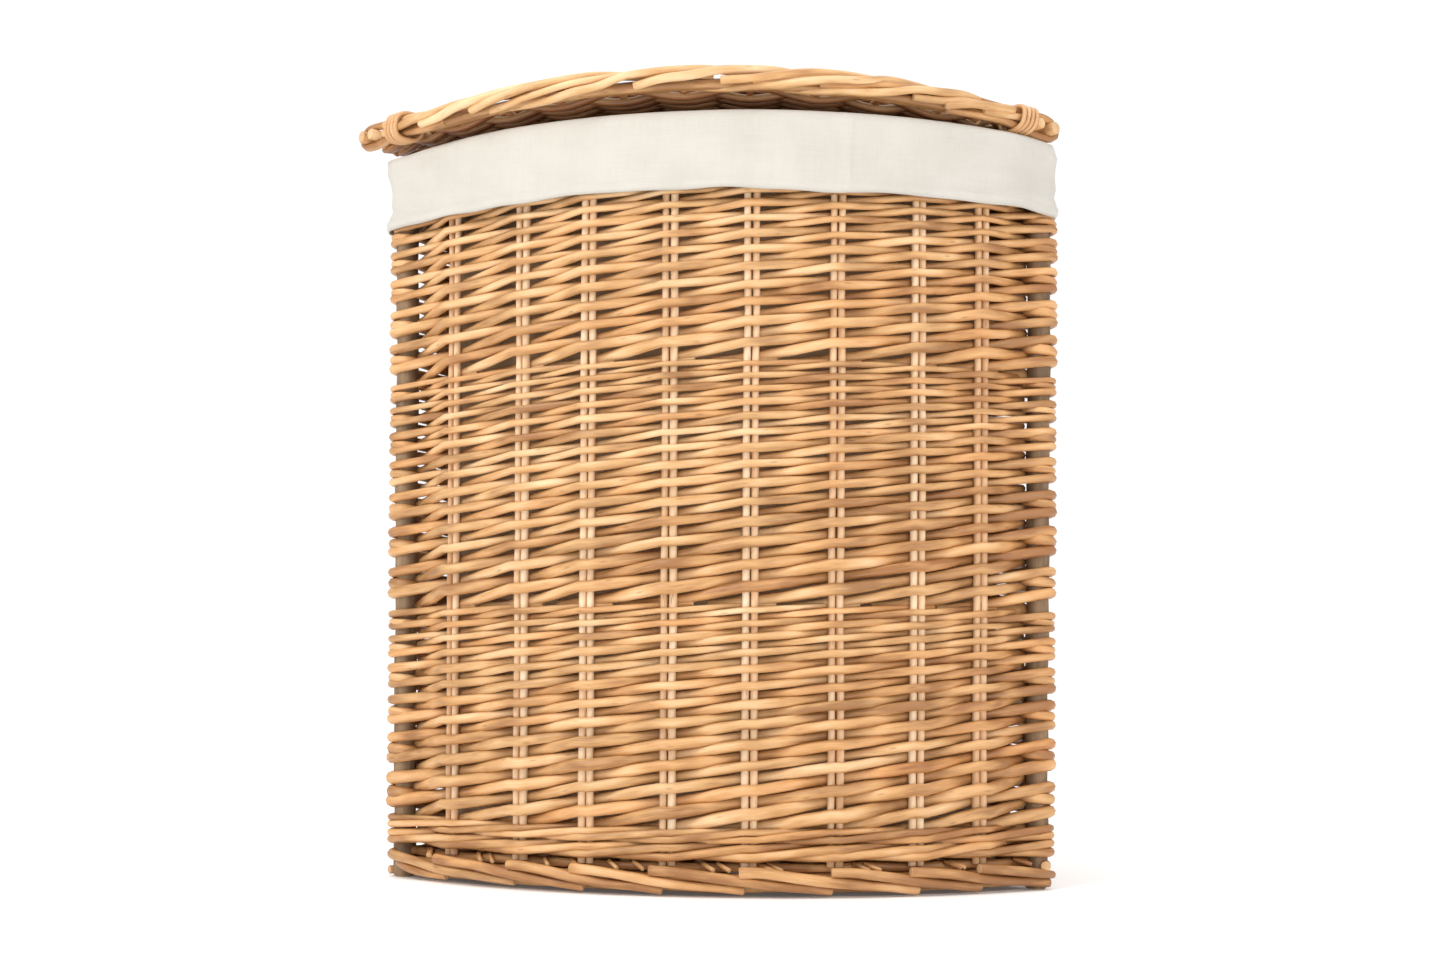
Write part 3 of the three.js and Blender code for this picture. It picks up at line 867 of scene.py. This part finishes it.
def add_cuff():
    """The folded-over edge of the lining: up the outside, over the border and down the inside."""
    count = 520
    up = [(0.0036, 0), (0.0042, 0.0028), (0.0040, 0.0064), (0.0031, 0.0080), (0.0033, 0.0105)]
    up += [(0.0030, 0.016), (0.0028, 0.022), (0.0027, 0.030), (0.0029, 0.038), (0.0032, 0.046)]
    up += [(0.0030, 0.052), (0.0018, 0.0555)]
    over = [(-0.0008, 0.0006), (-0.0045, 0), (-0.0105, 0.0002), (-0.0165, 0.0004)]
    over += [(-0.0205, 0.0014), (-0.0232, 0.0045), (-0.0238, 0.010)]
    profile = [(out, CUFF_BOTTOM + rise) for out, rise in up]
    profile += [(out, CUFF_TOP - drop) for out, drop in over]
    rings, cloth = [], []
    down = 0.0
    for k, (out, z) in enumerate(profile):
        corner = 0.013 + max(0.0, -out) * 0.7
        xy, normal, s = quadrant_outline(-out, corner, count)
        angle = np.arctan2(xy[:, 0] - CORNER[0], CORNER[1] - xy[:, 1])
        if k:
            down += math.dist(profile[k], profile[k - 1])
        hang = max(0.0, 1 - (z - CUFF_BOTTOM) / 0.05) if out > 0 else 0.0
        wave = ripple(s, 2.0, [(7, 0.0007), (13, 0.0006), (29, 0.0003)]) * (0.35 + hang)
        height = ripple(s, 5.0, [(5, 0.0008), (11, 0.0006), (23, 0.00035)]) * hang
        if out > 0:
            wave = wave + corner_bulge(xy, z)
            wave = wave + SEAM_RISE * (np.abs(angle - CUFF_SEAM) < SEAM_HALF_WIDTH)
        crown = max(0.0, 1 - (CUFF_TOP - z) / 0.004)
        on_side = np.clip((np.degrees(np.abs(angle)) - 40) / 4, 0, 1)
        height = height - CUFF_PRESSED * crown * on_side
        xy = xy + normal * wave[:, None]
        rings.append(flare(np.column_stack([xy, z + height])))
        cloth.append(np.column_stack([s, np.full(count, down), np.zeros(count)]))
    mesh = sheet_mesh("lining_cuff_cloth", rings[::-1], cloth[::-1])
    piece = add_piece("lining_cuff_cloth", mesh, "basket", COTTON, ["lining_cuff"])
    thicken(piece, 0.0011)


def add_bag():
    """The lining's bag, which hangs from the cuff and lies on the base in soft folds."""
    count = 360
    rings, cloth = [], []
    top = CUFF_TOP - 0.011
    for share in np.linspace(0, 1, 40):
        z = top + (BAG_FLOOR - top) * share
        inset = 0.0245 + 0.002 * math.sin(math.pi * share)
        xy, normal, s = quadrant_outline(inset, 0.03, count)
        size = 0.4 + 2.2 * math.sin(math.pi * min(1, share * 1.05)) ** 1.5
        wave = ripple(s + 0.03 * share, 3.0, [(9, 0.0009), (17, 0.0008), (31, 0.0004)]) * size
        xy = xy - normal * np.abs(wave)[:, None]
        rings.append(flare(np.column_stack([xy, np.full(count, z)])))
        cloth.append(np.column_stack([s, np.full(count, 0.08 + (top - z)), np.zeros(count)]))
    foot, centre = rings[-1], rings[-1].mean(axis=0)
    folds = ripple(cloth[-1][:, 0], 4.0, [(5, 0.0016), (8, 0.0012), (3, 0.001)])
    for share in np.linspace(0.06, 0.94, 16):
        ring = foot * (1 - share) + centre * share
        ring[:, 2] = BAG_FLOOR + 0.0004 + np.abs(folds * math.sin(math.pi * share))
        rings.append(ring)
        flat = ring - centre
        cloth.append(np.column_stack([flat[:, 0] + 2, flat[:, 1] + 2, np.zeros(count)]))
    mesh = sheet_mesh("lining_bag_cloth", rings, cloth, closed_end=True)
    piece = add_piece("lining_bag_cloth", mesh, "basket", COTTON, ["lining_bag"])
    thicken(piece, 0.0009)
    paint_shade_outside(piece)


# -------- lid

LID = CORNER + np.array(LID_CORNER)


def lid_point(radius, angle, z, thick):
    """A point of a lid rod, from its distance and angle about the lid's own corner."""
    a = math.radians(angle)
    curl = min(1.0, max(0.0, (angle - LIFT_FROM) / (LIFT_TO - LIFT_FROM))) ** 2
    rise = (radius / LID_RADIUS) * (LID_ARCH * math.cos(2 * a) + LEFT_LIFT * curl)
    return [LID[0] + radius * math.sin(a), LID[1] - radius * math.cos(a), z + rise, thick]


def edge_angle(radius, inset):
    """The angle of a point that is inset from the lid's straight edge."""
    return 45 - math.degrees(math.asin(inset / radius))


def lid_sticks():
    """Angle, start radius and rod radius of each stick that fans out from the lid's corner."""
    starts = ((-30, 0.118), (-15, 0.064), (0, 0.048), (15, 0.064), (30, 0.118))
    fan = [(angle, start, 0.0036) for angle, start in starts]
    short = [(angle, 0.2, 0.0028) for angle in (-37, -22.5, -7.5, 7.5, 22.5, 37)]
    return fan + short


def add_lid_sticks():
    rods = []
    for angle, start, radius in lid_sticks():
        along = np.linspace(start, LID_RADIUS - 0.02, 6)
        rods.append(Rod([lid_point(r, angle, LID_PLANE, radius) for r in along], samples=2))
    nodes = [f"lid_fan_stick_{i}" for i in range(1, 6)]
    add_rods("lid_fan_sticks", rods, "lid", SHADED_WILLOW, nodes)
    rods = []
    for sign in (-1, 1):
        points = []
        for along in np.linspace(0.02, LID_RADIUS - 0.001, 8):
            radius = math.hypot(along, INNER_STICK_INSET)
            angle = sign * edge_angle(radius, INNER_STICK_INSET)
            points.append(lid_point(radius, angle, LID_PLANE, 0.0041))
        rods.append(Rod(points, samples=2))
    names = ["lid_inner_stick_left", "lid_inner_stick_right"]
    add_rods("lid_inner_sticks", rods, "lid", WILLOW, names, sides=16)
    edges = ((1, "lid_hinge_stick", 0.0008, 0.3875), (-1, "lid_left_stick", 0.011, 0.3865))
    for sign, name, first, last in edges:
        points = []
        for along in np.linspace(first, last, 12):
            radius = math.hypot(along, EDGE_STICK_INSET)
            x, y, _, _ = lid_point(radius, sign * edge_angle(radius, EDGE_STICK_INSET), 0, 0)
            lift = LEFT_LIFT * along / LID_RADIUS if sign < 0 else 0.0
            points.append([x, y, LID_PLANE + lift, 0.0049])
        rod = Rod(points, samples=2, tone=-0.15)
        add_rods(name + "_rod", [rod], "lid", WILLOW, [name], sides=18)


LOWEST_WEAVER = 0.5604  # the weavers are pressed flat where the lid lies on the cuff
WRAP_REACH = 0.0062  # from an edge stick's middle to that of a weaver turned round it
WRAP = ((0.0, -1), (0.75, -0.6), (1.0, 0.0), (0.7, 0.7))  # out and up, over WRAP_REACH


def wrap_point(r, edge, out, up, side, radius):
    """A point of a weaver's turn round the left (edge -1) or the right (edge 1) edge stick."""
    near = r + 0.002 * up
    angle = edge_angle(near, EDGE_STICK_INSET) + math.degrees(WRAP_REACH * out / r)
    return lid_point(near, edge * angle, LID_PLANE - side * up * WRAP_REACH, radius)


def add_lid_weave():
    """Weavers that follow the front border from one edge stick to the other and turn round it."""
    pitch = 0.0052
    radius = 0.0031
    first = 0.034
    rows = int((LID_RADIUS - LID_BORDER_WIDTH + 0.004 - first) / pitch)
    rods = []
    for k in range(rows):
        r = first + k * pitch
        sign = 1 if k % 2 else -1
        sticks = [angle for angle, start, _ in lid_sticks() if start < r - 0.004]
        inner = edge_angle(r, INNER_STICK_INSET)
        angles = sorted(sticks + ([-inner, inner] if r > 0.06 else []))
        points = [wrap_point(r, -1, out, up, sign, radius) for out, up in WRAP]
        side = sign
        for angle in angles:
            side = -side
            points.append(lid_point(r, angle, LID_PLANE + side * (0.0030 + radius) * 0.66, radius))
        points += [wrap_point(r, 1, out, up, -side, radius) for out, up in WRAP[::-1]]
        # a lower tone on the lid's weavers: more painted shade on the lid's underside
        rod = Rod(points, samples=6, tone=rng.normal(-0.1, 0.07))
        rod.path[:, 2] = np.maximum(rod.path[:, 2], LOWEST_WEAVER)
        rods.append(rod)
    add_rods("lid_weavers", rods, "lid", SHADED_WILLOW, ["lid_weave"])


BORDER_MIDDLE = LID_RADIUS - LID_BORDER_WIDTH / 2
BORDER_CENTRE = (LID_BORDER_BOTTOM + LID_BORDER_TOP) / 2


def border_point(angle, round_angle, share, radius):
    """A point round the lid border's section: 0 is the outer face, 90 is the top.

    The border is slimmer near both ends, and most of all on the left, and pinched by its lashings.
    """
    a = math.radians(round_angle)
    wide = (LID_BORDER_WIDTH / 2 - radius) * share
    tall = ((LID_BORDER_TOP - LID_BORDER_BOTTOM) / 2 - radius) * share
    slim = math.exp(-(((angle + 31) / 9) ** 2)) + 0.4 * math.exp(-(((angle - 33) / 8) ** 2))
    tall *= 1 - 0.16 * slim
    pinch = min(1.0, max(0.0, (abs(angle) - 32) / 4))
    wide *= 1 - 0.2 * pinch
    tall *= 1 - 0.2 * pinch
    return lid_point(
        BORDER_MIDDLE + wide * math.cos(a),
        angle,
        BORDER_CENTRE - 0.0022 * slim + tall * math.sin(a),
        radius,
    )


BORDER_STEP = 8.8  # degrees from one rod to the next
LID_BORDER_SLITS = (0, 1, 2, 4, 5)  # the inner rods that are missing, so that light shows through


def add_lid_border():
    """The plaited front border: rods start under it, climb across its front and end over the top.

    Thinner rods lie between and inside them, three rods fill the core, and one is bent round each tip.
    """
    rods = []
    under = [(-9, -135), (-6, -100), (-3, -66)]
    route = [(0, -38), (3, -18), (6, 4), (9, 26), (12, 50), (15, 76), (18, 104), (22, 138)]
    layers = (0.66, 0.82, 0.98, 1.06, 1.12, 1.12, 1.08, 1.02, 0.96, 0.88, 0.76)
    for first, depth, thin, thick in ((-50.0, 0.0, 0.0029, 0.0034), (-45.6, 0.32, 0.0024, 0.0029)):
        for k, start in enumerate(np.arange(first, 39, BORDER_STEP)):
            radius = rng.uniform(thin, thick)
            begin = start + rng.normal(0, 1.0)
            cut = 3 if rng.random() < 0.3 else 0
            points = []
            for (along, turn), share in list(zip(under + route, layers))[cut:]:
                angle = begin + along
                if abs(angle) <= LID_BORDER_END:
                    points.append(border_point(angle, turn + rng.normal(0, 5), share - depth, radius))
            if len(points) > 2:
                # a rod that makes a slit is drawn too, so that the others keep their random looks
                # the inner layer's rods are darker by their depth: painted shade between the rods
                rod = Rod(points, samples=6, tone=rng.normal(0.09 - 0.5 * depth, 0.12))
                if not depth or k not in LID_BORDER_SLITS:
                    rods.append(rod)
    for turn, share in ((180, 0.8), (225, 0.7), (-90, 0.55)):
        radius = 0.0034
        angles = np.linspace(-LID_BORDER_END, LID_BORDER_END, 24)
        points = [border_point(angle, turn, share, radius) for angle in angles]
        rods.append(Rod(points, samples=3, tone=-0.3))
    for sign in (-1, 1):
        radius = 0.0030
        bend = [(0.022, 0.0074), (0.012, 0.0078), (0.003, 0.0066), (-0.0022, 0.0032), (-0.0030, 0.0)]
        bend += [(inset, -height) for inset, height in bend[3::-1]]
        above = [border_point(sign * angle, 75, 0.9, radius) for angle in (30, 34, 38)]
        below = [border_point(sign * angle, -75, 0.9, radius) for angle in (38, 34, 30)]
        round_tip = []
        for inset, height in bend:
            angle = sign * edge_angle(LID_RADIUS - 0.008, inset)
            round_tip.append(lid_point(LID_RADIUS - 0.008, angle, LID_PLANE + height, radius))
        rods.append(Rod(above + round_tip + below, samples=5, tone=-0.24, red=0.3))
    add_rods("lid_border", rods, "lid", WILLOW, ["lid_front_border"], sides=10)


def squared(value):
    """A sine or cosine pushed towards its ends, which gives a circle the section of a rounded box."""
    return math.copysign(abs(value) ** 0.75, value)


def add_lashings():
    """Four turns of split cane round the border near each end."""
    wide, tall, pitch, radius = 0.0118, 0.0098, 0.0040, 0.0018
    for sign, name, first in ((-1, "lid_lashing_left", 0.0435), (1, "lid_lashing_right", 0.0255)):
        rods = []
        for turn in range(4):
            lean = sign * rng.uniform(0.0015, 0.0035)
            points = []
            for k in range(25):
                a = 2 * math.pi * k / 24
                r = BORDER_MIDDLE + wide * squared(math.cos(a))
                z = BORDER_CENTRE - 0.0016 + tall * squared(math.sin(a))
                inset = first + pitch * turn - lean * math.sin(a)
                points.append(lid_point(r, sign * edge_angle(r, inset), z, radius))
            rods.append(Rod(points, samples=2, tone=rng.normal(-0.38, 0.1), red=0.35))
        add_rods(name + "_cane", rods, "lid", PALE_WILLOW, [name])


def add_hinge_loops():
    """Two strands of split willow twisted round the lid's stick and through the top border."""
    for name in ("hinge_loop_front", "hinge_loop_back"):
        low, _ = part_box(name)
        middle = node_centre(name)
        along = np.array([-DIAGONAL, DIAGONAL])
        radius = 0.0017
        half = 0.0071
        rods = []
        for strand in (-1, 1):
            points = []
            for k in range(41):
                a = 2 * math.pi * k / 40
                centre = LID_PLANE if math.sin(a) > 0 else low[2] + half + radius
                place = middle[:2] + RIGHT_NORMAL * half * math.cos(a) + along * strand * radius
                points.append([*place, centre + half * math.sin(a), radius])
            rods.append(Rod(points, samples=2, tone=0.1))
        add_rods(name + "_willow", rods, "basket", PALE_WILLOW, [name])


# -------- stage

BACKDROP = 1.05  # how bright the backdrop is seen
AMBIENT = 0.72  # how much light comes from all round
FLOOR_REACH = 40.0
CAMERA_PLACE = (0.1738, -1.6471, 0.1471)  # from the foot of the plan's back corner
CAMERA_TURN = 6.91  # degrees to the left
CAMERA_PITCH = 6.26  # degrees up
CAMERA_ROLL = 0.415  # degrees
CAMERA_LENS = 46.09  # millimetres


def add_stage():
    mesh = bpy.data.meshes.new("floor")
    corners = [(x * FLOOR_REACH, y * FLOOR_REACH, 0) for x, y in ((-1, -1), (1, -1), (1, 1), (-1, 1))]
    mesh.from_pydata(corners, [], [[0, 1, 2, 3]])
    floor = add_object("floor", mesh)
    material, _, shader = new_material("floor", 0.9, specular=0.1)
    shader.inputs["Base Color"].default_value = (0.96, 0.96, 0.96, 1)
    shader.inputs["Emission Color"].default_value = (1, 1, 1, 1)
    shader.inputs["Emission Strength"].default_value = 0.06
    mesh.materials.append(material)


def add_light(name, place, target, size, power, colour=(1, 1, 1)):
    data = bpy.data.lights.new(name, "AREA")
    data.shape = "RECTANGLE"
    data.size, data.size_y = size
    data.energy = power
    data.color = colour
    light = add_object(name, data)
    light.location = place
    light.rotation_euler = (Vector(target) - Vector(place)).to_track_quat("-Z", "Y").to_euler()


def add_lights():
    """Soft studio light from all round, with a plain white backdrop behind the basket."""
    world = bpy.data.worlds.new("studio")
    bpy.context.scene.world = world
    world.use_nodes = True
    tree = world.node_tree
    background = tree.nodes["Background"]
    background.inputs[0].default_value = (1, 1, 1, 1)
    seen = node(tree, "ShaderNodeLightPath").outputs["Is Camera Ray"]
    strength = maths(tree, "MULTIPLY_ADD", seen, BACKDROP - AMBIENT, AMBIENT)
    tree.links.new(strength, background.inputs[1])
    target = (0, 0, 0.3)
    add_light("key", (-1.1, -1.6, 1.5), target, (1.0, 1.0), 22, (1, 0.98, 0.95))
    add_light("fill", (1.5, -1.4, 0.9), target, (1.4, 1.4), 9)
    data = bpy.data.lights.new("sky", "SUN")
    data.energy = 1.25
    data.angle = math.radians(70)
    add_object("sky", data)


def add_camera():
    """The camera stands a little to the right, low down, and looks slightly up."""
    data = bpy.data.cameras.new("camera")
    data.lens = CAMERA_LENS
    camera = add_object("camera", data)
    turn = Matrix.Rotation(math.radians(CAMERA_TURN), 4, "Z")
    pitch = Matrix.Rotation(math.radians(90 + CAMERA_PITCH), 4, "X")
    roll = Matrix.Rotation(math.radians(CAMERA_ROLL), 4, "Z")
    place = (CORNER[0] + CAMERA_PLACE[0], CORNER[1] + CAMERA_PLACE[1], CAMERA_PLACE[2])
    camera.matrix_world = Matrix.Translation(place) @ turn @ pitch @ roll
    bpy.context.scene.camera = camera
    bpy.context.scene.view_settings.view_transform = "Standard"


# -------- the whole basket

add_camera()
add_lights()
add_stage()
add_posts()
add_stakes()
add_weave()
add_wale()
add_foot_border()
add_top_border()
add_base()
add_bag()
add_cuff()
add_lid_sticks()
add_lid_weave()
add_lid_border()
add_lashings()
add_hinge_loops()
